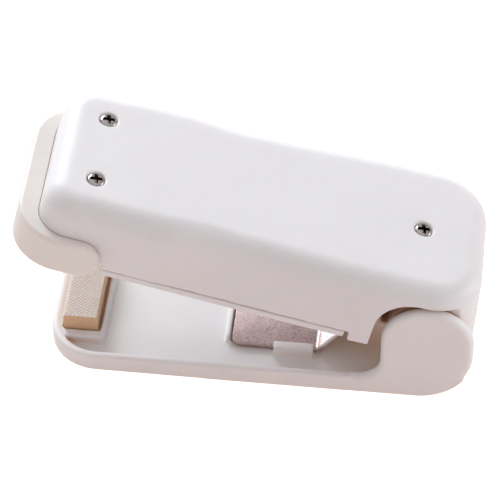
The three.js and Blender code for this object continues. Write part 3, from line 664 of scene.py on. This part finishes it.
def slab_object(outline, y0, y1, place):
    """A cutter: a closed outline of (x, z) points, carried across from y0 to y1."""
    count = len(outline)
    vertices = [(x, y0, z) for x, z in outline] + [(x, y1, z) for x, z in outline]
    faces = [tuple(range(count)), tuple(reversed(range(count, 2 * count)))]
    faces += [(i, i + count, (i + 1) % count + count, (i + 1) % count) for i in range(count)]
    return new_object("cutter", vertices, faces, place)


def arc(centre_x, centre_z, radius, start, end, steps=40):
    """Points of an arc seen from the side, between two angles in degrees."""
    angles = [math.radians(start + (end - start) * i / steps) for i in range(steps + 1)]
    return [(centre_x + radius * math.cos(a), centre_z + radius * math.sin(a)) for a in angles]


def ear_cut_outs():
    """Cutters for the round openings in the side walls over the ears."""
    corner_x = CUT_OUT_FRONT + CUT_OUT_RADIUS
    corner = arc(corner_x, CUT_OUT_TOP - CUT_OUT_RADIUS, CUT_OUT_RADIUS, 180, 90)
    outline = [(CUT_OUT_FRONT, 0), *corner, (REACH, CUT_OUT_TOP + 0.5), (REACH, 0)][::-1]
    return [
        slab_object(outline, TAIL_HALF_WIDTH, REACH, ARM_PLACE),
        slab_object(outline, -REACH, -TAIL_HALF_WIDTH, ARM_PLACE),
    ]


def make_top_housing():
    """The arm's shell: hollow, open below, cut away round the door, jaw, ears and screws."""
    shell = arm_form("top_housing_shell", 0, SKIRT_LOW, ARM_TOP)
    slits = [
        box_object((SLIT_FRONT, y0, 0), (SLIT_REAR, y1, SLIT_TOP), ARM_PLACE)
        for y0, y1 in ((-REACH, -SLIT_INNER), (SLIT_INNER, REACH))
    ]
    cutters = [
        arm_form("cutter", ARM_WALL, SKIRT_LOW - 1, ARM_TOP - ARM_WALL),
        box_object((DOOR_LOW.x - 0.5, -REACH, 0), (SKIRT_FRONT, REACH, SIDE_LOW), ARM_PLACE),
        box_object((-3 * REACH, -REACH, 0), (DOOR_LOW.x - 0.4, REACH, HEAD_LOW), ARM_PLACE),
        box_object((CUT_OUT_FRONT, -REACH, 0), (REACH, REACH, TAIL_LOW), ARM_PLACE),
        *ear_cut_outs(),
        *slits,
        *(screw_recess(*spot) for spot in SCREW_SPOTS.values()),
    ]
    combine(shell, cutters, "DIFFERENCE")
    mould(shell, voxel=0.3, passes=6, share=0.35)
    present(shell, "arm", WHITE, "white_plastic", "top_housing")


# ---- the floating jaw ----


def pill_object():
    """The collar seen from the side: its two arms end in half circles."""
    radius = (COLLAR_TOP - COLLAR_LOW) / 2
    front = JAW_LOW.x - 5
    end = arc(PILL_END - radius, COLLAR_LOW + radius, radius, -90, 90)
    outline = [(front, COLLAR_LOW), *end, (front, COLLAR_TOP)]
    return slab_object(outline, -REACH, REACH, ARM_PLACE)


def make_front_jaw():
    """A soft-edged collar round the head, over the heater block and floor of the frame's jaw."""
    outline = plan_outline(JAW_LOW.x, COLLAR_REAR, JAW_CORNER, COLLAR_REAR_CORNER, lambda x: JAW_HIGH.y)
    rings = [ring(outline, 0, COLLAR_LOW)] + rounded_top(outline, COLLAR_EASING, COLLAR_TOP)
    collar = ring_object("jaw_collar", rings, ARM_PLACE)
    combine(collar, [pill_object()], "INTERSECT")
    combine(collar, [arm_form("cutter", -COLLAR_SEAM, JAW_FLOOR_TOP, ARM_TOP)], "DIFFERENCE")
    lower = copy_node("front_jaw", "lower")
    combine(lower, [box_object(ABOVE_JAW_LOW, ABOVE_JAW_HIGH, ARM_PLACE)], "DIFFERENCE")
    combine(collar, [lower], "UNION")
    mould(collar, voxel=0.17, passes=2, share=0.4)
    present(collar, "jaw", CREAM, "cream_plastic", "front_jaw")


# ---- moulded pieces that keep the frame's shape ----


def moulded_copy(node, name, body, material, slot, voxel, passes, share):
    """A frame node's own shape with its edges softened."""
    made = copy_node(node, name)
    mould(made, voxel, passes, share)
    present(made, body, material, slot, node)


# ---- the base's pad and leaf spring ----

KNURL_PITCH = 0.78
KNURL_DEPTH = 0.24
PAD_EDGE = 0.45
PAD_BAND = 1.4
PAD_FOOT = 1.0
PAD_SWELL = 0.06
PAD_COLUMNS = 84
PAD_ROWS = 250


def pad_height(x, y):
    """The pad's top: crossed diagonal grooves, and an edge that rolls off."""
    along = math.sin(math.pi * (x + y) / (KNURL_PITCH * math.sqrt(2)))
    across = math.sin(math.pi * (x - y) / (KNURL_PITCH * math.sqrt(2)))
    groove = KNURL_DEPTH * (1 - min(1.0, 1.5 * abs(along)) * min(1.0, 1.5 * abs(across)))
    edge = min(x - PAD_LOW.x, PAD_HIGH.x - x, y - PAD_LOW.y, PAD_HIGH.y - y)
    inside = max(0.0, PAD_EDGE - edge)
    roll = PAD_EDGE - math.sqrt(max(0.0, PAD_EDGE**2 - inside**2))
    return PAD_HIGH.z - roll - groove * min(1.0, edge / PAD_EDGE)


def grid_faces(columns, rows):
    """Faces between the points of a grid that runs row by row."""
    faces = []
    for j in range(rows - 1):
        for i in range(columns - 1):
            a = j * columns + i
            faces.append((a, a + 1, a + columns + 1, a + columns))
    return faces


def grid_border(columns, rows):
    """The grid's outer points, once round."""
    border = list(range(columns))
    border += [j * columns + columns - 1 for j in range(1, rows)]
    border += [(rows - 1) * columns + i for i in range(columns - 2, -1, -1)]
    border += [j * columns for j in range(rows - 2, 0, -1)]
    return border


def make_sealing_pad():
    """The silicone block: a knurled top, sides that swell a little near the foot, a flat base."""
    xs = np.linspace(PAD_LOW.x, PAD_HIGH.x, PAD_COLUMNS)
    ys = np.linspace(PAD_LOW.y, PAD_HIGH.y, PAD_ROWS)
    points = [(x, y, pad_height(x, y)) for y in ys for x in xs]
    faces = grid_faces(PAD_COLUMNS, PAD_ROWS)
    border = grid_border(PAD_COLUMNS, PAD_ROWS)
    middle_x = (PAD_LOW.x + PAD_HIGH.x) / 2
    levels = ((PAD_HIGH.z - PAD_BAND, 0.0), (PAD_LOW.z + PAD_FOOT, PAD_SWELL), (PAD_LOW.z, 0.0))
    previous = border
    for z, swell in levels:
        first = len(points)
        for index in border:
            x, y, _ = points[index]
            points.append((x + math.copysign(swell, x - middle_x), y + math.copysign(swell, y), z))
        current = list(range(first, first + len(border)))
        for i in range(len(border)):
            j = (i + 1) % len(border)
            faces.append((previous[i], current[i], current[j], previous[j]))
        previous = current
    faces.append(tuple(reversed(previous)))
    pad = new_object("silicone_pad", points, faces, BASE_PLACE)
    shade(pad, 50)
    present(pad, "base", SILICONE, "silicone", "sealing_pad")


LEAF_THICK = 0.6
LEAF_BEND = -27.6
LEAF_SLOPE = math.radians(52)
LEAF_BEND_RADIUS = 1.6
LEAF_CORNER = 2.2
LEAF_ACROSS = 25
TIP_CURL = math.radians(70)
TIP_RISE = 1.0
TIP_STEPS = 8
TIP_STEP_LENGTH = 0.3


def leaf_path():
    """Points along the middle of the sheet: flat, a bend, the rising tongue, and a curled tip."""
    level = LEAF_LOW.z + LEAF_THICK / 2
    bend_start = LEAF_BEND - LEAF_BEND_RADIUS * math.tan(LEAF_SLOPE / 2)
    points = [(LEAF_LOW.x + d, level) for d in np.linspace(0, LEAF_CORNER, 12)]
    points += [(x, level) for x in np.linspace(LEAF_LOW.x + LEAF_CORNER, bend_start, 24)[1:]]
    for i in range(1, 13):
        angle = LEAF_SLOPE * i / 12
        x = bend_start + LEAF_BEND_RADIUS * math.sin(angle)
        z = level + LEAF_BEND_RADIUS * (1 - math.cos(angle))
        points.append((x, z))
    x, z = points[-1]
    rise = LEAF_HIGH.z - TIP_RISE - z
    run = rise / math.tan(LEAF_SLOPE)
    points += [(x + run * t, z + rise * t) for t in np.linspace(0, 1, 24)[1:]]
    x, z = points[-1]
    for i in range(1, TIP_STEPS + 1):
        angle = LEAF_SLOPE - TIP_CURL * i / TIP_STEPS
        x += TIP_STEP_LENGTH * math.cos(angle)
        z += TIP_STEP_LENGTH * math.sin(angle)
        points.append((x, z))
    return points


def leaf_half_width(distance):
    """Half the sheet's width at a distance from its front edge, where the corners are round."""
    inside = max(0.0, LEAF_CORNER - distance)
    return LEAF_HIGH.y - LEAF_CORNER + math.sqrt(max(0.0, LEAF_CORNER**2 - inside**2))


def make_leaf_spring():
    """The steel leaf, flat on the base and bent up into a tongue."""
    path = leaf_path()
    points = []
    for x, z in path:
        half = leaf_half_width(x - LEAF_LOW.x)
        points += [(x, half * (2 * j / (LEAF_ACROSS - 1) - 1), z) for j in range(LEAF_ACROSS)]
    faces = []
    for i in range(len(path) - 1):
        for j in range(LEAF_ACROSS - 1):
            a = i * LEAF_ACROSS + j
            faces.append((a, a + LEAF_ACROSS, a + LEAF_ACROSS + 1, a + 1))
    leaf = new_object("steel_leaf", points, faces, BASE_PLACE)
    solidify = leaf.modifiers.new("thickness", "SOLIDIFY")
    solidify.thickness = LEAF_THICK * MM
    solidify.offset = 0
    ease_edges(leaf, 0.08, 30)
    settle(leaf)
    shade(leaf, 40)
    leaf.data.materials.append(LEAF_STEEL)
    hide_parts("leaf_spring")
    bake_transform(leaf)


def make_jaw_spring(node):
    """A coil spring: the frame node's own shape in spring steel."""
    coil = copy_node(node, node + "_coil")
    shade(coil, 35)
    coil.data.materials.append(STEEL)
    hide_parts(node)
    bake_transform(coil)


# ---- screws and cells ----

CROSS_TURN = 8
CROWN_RIM = 0.35
CROWN_BULGE = 0.6
THREAD_PITCH = 1.0
THREAD_ROOT = 0.8 * SCREW_SHANK_RADIUS
NECK_RADIUS = 0.9 * SCREW_SHANK_RADIUS


def cross_recess(x, y, seat):
    """A tapered cross, as two cutters."""
    wide, narrow = 0.78 * SCREW_RADIUS, 0.45 * SCREW_RADIUS
    slot, deep_slot = 0.23 * SCREW_RADIUS, 0.15 * SCREW_RADIUS
    top, deep = SCREW_HEIGHT * 1.3, SCREW_HEIGHT * -0.3
    points = []
    for half_length, half_slot, z in ((narrow, deep_slot, deep), (wide, slot, top)):
        points += [(-half_length, -half_slot, z), (half_length, -half_slot, z)]
        points += [(half_length, half_slot, z), (-half_length, half_slot, z)]
    faces = [(3, 2, 1, 0), (4, 5, 6, 7), (0, 1, 5, 4), (1, 2, 6, 5), (2, 3, 7, 6), (3, 0, 4, 7)]
    spot = ARM_PLACE @ Matrix.Translation((x, y, seat))
    turns = [Matrix.Rotation(math.radians(turn + CROSS_TURN), 4, "Z") for turn in (0, 90)]
    return [new_object("cutter", points, faces, spot @ turn) for turn in turns]


def crown_rise(slope):
    """Height of the crown where its surface has turned by slope from the upright rim."""
    return SCREW_HEIGHT * (CROWN_RIM + (1 - CROWN_RIM) * math.sin(slope))


def crown_height(off_axis):
    """Height of a screw's crown at a distance from its axis."""
    return crown_rise(math.acos(min(1.0, (off_axis / SCREW_RADIUS) ** (1 / CROWN_BULGE))))


def screw_profile():
    """From the tip up the thread to the crown."""
    profile = [(0.2, -SCREW_LENGTH), (SCREW_SHANK_RADIUS, 1.2 - SCREW_LENGTH)]
    for turn in range(int((SCREW_LENGTH - 2.0) / THREAD_PITCH)):
        z = 1.4 - SCREW_LENGTH + turn * THREAD_PITCH
        profile += [(THREAD_ROOT, z), (SCREW_SHANK_RADIUS, z + 0.3), (THREAD_ROOT, z + 0.6)]
    profile += [(NECK_RADIUS, -0.2), (NECK_RADIUS, 0.0), (SCREW_RADIUS * 0.96, 0.0)]
    for slope in np.linspace(0.0, math.pi / 2 - 0.02, 14):
        profile.append((SCREW_RADIUS * math.cos(slope) ** CROWN_BULGE, crown_rise(slope)))
    return profile


def paint_recess_shade(screw, x, y, seat):
    """Gives the faces inside the cross, which lie below the crown, a near-black metal as painted shade.
    """
    screw.data.materials.append(RECESS_SHADE_STEEL)
    back = (ARM_PLACE @ Matrix.Translation((x, y, seat))).inverted()
    for face in screw.data.polygons:
        centre = back @ face.center
        off_axis = math.hypot(centre.x, centre.y)
        below_crown = -0.4 * SCREW_HEIGHT < centre.z < crown_height(off_axis) - 0.04
        if off_axis < 0.8 * SCREW_RADIUS and below_crown:
            face.material_index = 1


def make_screw(spot, x, y, seat):
    """A panhead screw with a thread, upright with its head on the seat."""
    screw = turned_object("panhead_" + spot, screw_profile(), (0, 0, 1), (x, y, seat), ARM_PLACE, 64)
    combine(screw, cross_recess(x, y, seat), "DIFFERENCE")
    ease_edges(screw, 0.05, 50)
    settle(screw)
    shade(screw, 40)
    present(screw, "arm", SCREW_NICKEL, "nickel", "housing_screw_" + spot)
    paint_recess_shade(screw, x, y, seat)


def cell_profile(radius, length):
    """From the nub over the sleeve's shrunk lip and along the can to the flat end."""
    nub = [(2.5, 0), (2.7, 0.25), (2.7, 0.95), (3.2, 1.1)]
    lip = [(radius - 1.3, 1.15), (radius - 0.9, 1.35), (radius - 0.6, 1.2), (radius - 0.2, 1.2)]
    can = [(radius, 1.5), (radius, length - 0.6), (radius - 0.4, length - 0.15)]
    flat_end = [(radius - 1.0, length - 0.15), (radius - 1.3, length - 0.02), (1, length)]
    return nub + lip + can + flat_end


def make_cell(name, node):
    """An AA cell in its sleeve. The left one points forwards and the right one backwards."""
    low, high = drawn_box(node, ARM_PLACE)
    radius = (high.z - low.z) / 2
    nub_forward = node == "cell_left"
    centre = (low.x if nub_forward else high.x, (low.y + high.y) / 2, (low.z + high.z) / 2)
    axis = (1, 0, 0) if nub_forward else (-1, 0, 0)
    made = turned_object(name, cell_profile(radius, high.x - low.x), axis, centre, ARM_PLACE, 72)
    shade(made, 35)
    present(made, "arm", SLEEVE, "cell_sleeve", node)
    made.data.materials.append(NICKEL)
    back = ARM_PLACE.inverted()
    for face in made.data.polygons:
        spot = back @ face.center
        off_axis = math.hypot(spot.y - centre[1], spot.z - centre[2])
        if off_axis < radius - 0.45:
            face.material_index = 1


def dress_nodes(names, material, bevel=0.0):
    """Frame nodes that keep their shape: a finish, smooth shading and, with a bevel, eased edges."""
    for name in names:
        node = frame["nodes"][name]
        node.data.materials.clear()
        node.data.materials.append(material)
        shade(node, 35)
        if bevel:
            ease_edges(node, bevel, 40)


# ---- studio ----

# Lengths in metres. A lamp's side is the direction it is seen in from the object.
LIGHT_DISTANCE = 0.95
LIGHT_SIZE = 0.5
WINDOW = {"side": (-0.45, 0.75, 0.5), "watts": 7.55, "colour": (0.87, 0.955, 1.0)}
SIDE_LAMP = {"side": (0.95, 0.15, 0.12), "watts": 3.8, "colour": (0.88, 0.96, 1.0)}
# The light that the floor gives the object, and how bright the camera sees it.
FLOOR_GLOW = (0.385, 0.275, 0.24)
FLOOR_SEEN = (1.2, 1.2, 1.2)
FLOOR_SIZE = 3.0
PAPER_GREYS = ((0.6, 0.6, 0.6), (0.64, 0.64, 0.64))
TENT_SIZE = 1.0
TENT_CLOTH = (0.8, 0.8, 0.8)

# Angles in degrees, lengths in metres. The shift moves the target right and up in the picture.
CAMERA_AZIMUTH = 6.6
CAMERA_ELEVATION = 45.4
CAMERA_ROLL = -0.28
CAMERA_DISTANCE = 0.739
CAMERA_LENS = 214.2
CAMERA_TARGET = (-0.0062, 0, 0.01607)
CAMERA_SHIFT = (0.00238, 0.00536)


def aim(thing, target):
    """Turns a lamp towards a point."""
    thing.rotation_euler = (Vector(target) - thing.location).to_track_quat("-Z", "Y").to_euler()


def area_light(name, side, watts, colour):
    """A square light seen from the object in the direction side."""
    light = bpy.data.lights.new(name, "AREA")
    light.size = LIGHT_SIZE
    light.energy = watts
    light.color = colour
    lamp = bpy.data.objects.new(name, light)
    lamp.location = Vector(side).normalized() * LIGHT_DISTANCE
    bpy.context.scene.collection.objects.link(lamp)
    aim(lamp, (0, 0, 0.02))


def make_floor():
    """A light table: white, and bright enough on its own to lose the shadows."""
    size = FLOOR_SIZE
    points = [(-size, -size, 0), (size, -size, 0), (size, size, 0), (-size, size, 0)]
    floor = new_object("floor", points, [(0, 1, 2, 3)], Matrix.Identity(4))
    material, tree, principled = shader("light_table")
    paper = object_noise(tree, PAPER_CLOUDS, 2)
    rays = tree.nodes.new("ShaderNodeLightPath")
    glow = mixed(tree, rays.outputs["Is Camera Ray"], FLOOR_GLOW, FLOOR_SEEN)
    feed(tree, colour_between(tree, paper, *PAPER_GREYS), principled.inputs["Base Color"])
    feed(tree, 0.9, principled.inputs["Roughness"])
    feed(tree, 1.0, principled.inputs["Emission Strength"])
    feed(tree, glow, principled.inputs["Emission Color"])
    floor.data.materials.append(material)


def make_camera():
    """A long lens that looks down at the near side, from a little towards the hinge."""
    azimuth, elevation = math.radians(CAMERA_AZIMUTH), math.radians(CAMERA_ELEVATION)
    back_x = math.sin(azimuth) * math.cos(elevation)
    back_y = -math.cos(azimuth) * math.cos(elevation)
    back = Vector((back_x, back_y, math.sin(elevation)))
    right = Vector((math.cos(azimuth), math.sin(azimuth), 0))
    up = back.cross(right)
    target = Vector(CAMERA_TARGET) + right * CAMERA_SHIFT[0] + up * CAMERA_SHIFT[1]
    data = bpy.data.cameras.new("camera")
    data.sensor_width = 36
    data.lens = CAMERA_LENS
    camera = bpy.data.objects.new("camera", data)
    roll = Matrix.Rotation(math.radians(CAMERA_ROLL), 4, "Z")
    turn = Matrix((right, up, back)).transposed().to_4x4() @ roll
    camera.matrix_world = Matrix.Translation(target + back * CAMERA_DISTANCE) @ turn
    bpy.context.scene.collection.objects.link(camera)
    bpy.context.scene.camera = camera


def make_tent():
    """White cloth on all sides, which hands light round to the faces the lamps don't reach."""
    size = TENT_SIZE
    tent = box_object((-size, -size, -size), (size, size, size), Matrix.Identity(4), "tent")
    material, tree, principled = shader("tent_cloth")
    feed(tree, TENT_CLOTH, principled.inputs["Base Color"])
    tent.data.materials.append(material)


def make_studio():
    """Two soft lamps in a white tent."""
    area_light("window", **WINDOW)
    area_light("side_lamp", **SIDE_LAMP)
    make_tent()
    bpy.context.scene.view_settings.view_transform = "Standard"


# ---- the object ----

make_camera()
make_studio()
make_floor()
make_top_housing()
make_front_jaw()
moulded_copy(
    "base_shell", "base_moulding", "base", BASE_WHITE, "white_plastic", voxel=0.3, passes=6, share=0.35
)
moulded_copy(
    "battery_chassis", "chassis_moulding", "arm", INNER, "inner_plastic", voxel=0.35, passes=4, share=0.35
)
moulded_copy(
    "battery_door", "door_moulding", "door", WHITE, "white_plastic", voxel=0.25, passes=4, share=0.3
)
make_sealing_pad()
make_leaf_spring()
for spot, (spot_x, spot_y, spot_seat) in SCREW_SPOTS.items():
    make_screw(spot, spot_x, spot_y, spot_seat)
for side in ("left", "right"):
    make_cell("aa_cell_" + side, "cell_" + side)
for side in ("left", "right"):
    make_jaw_spring("jaw_spring_" + side)

NICKEL_NODES = ["hinge_pin", "heating_ribbon", "terminal_screw_left", "terminal_screw_right"]
BRASS_NODES = [
    "positive_contact",
    "negative_contact",
    "bridge_contact",
    "contact_blade_left",
    "contact_blade_right",
    "terminal_left",
    "terminal_right",
]
dress_nodes(NICKEL_NODES, NICKEL, 0.04)
dress_nodes(BRASS_NODES, BRASS, 0.04)
dress_nodes(["battery_wire_left"], RED)
dress_nodes(["battery_wire_right"], BLACK)
dress_nodes(["ribbon_cover"], GLASS_CLOTH)
dress_nodes(["heater_backing"], MICA)
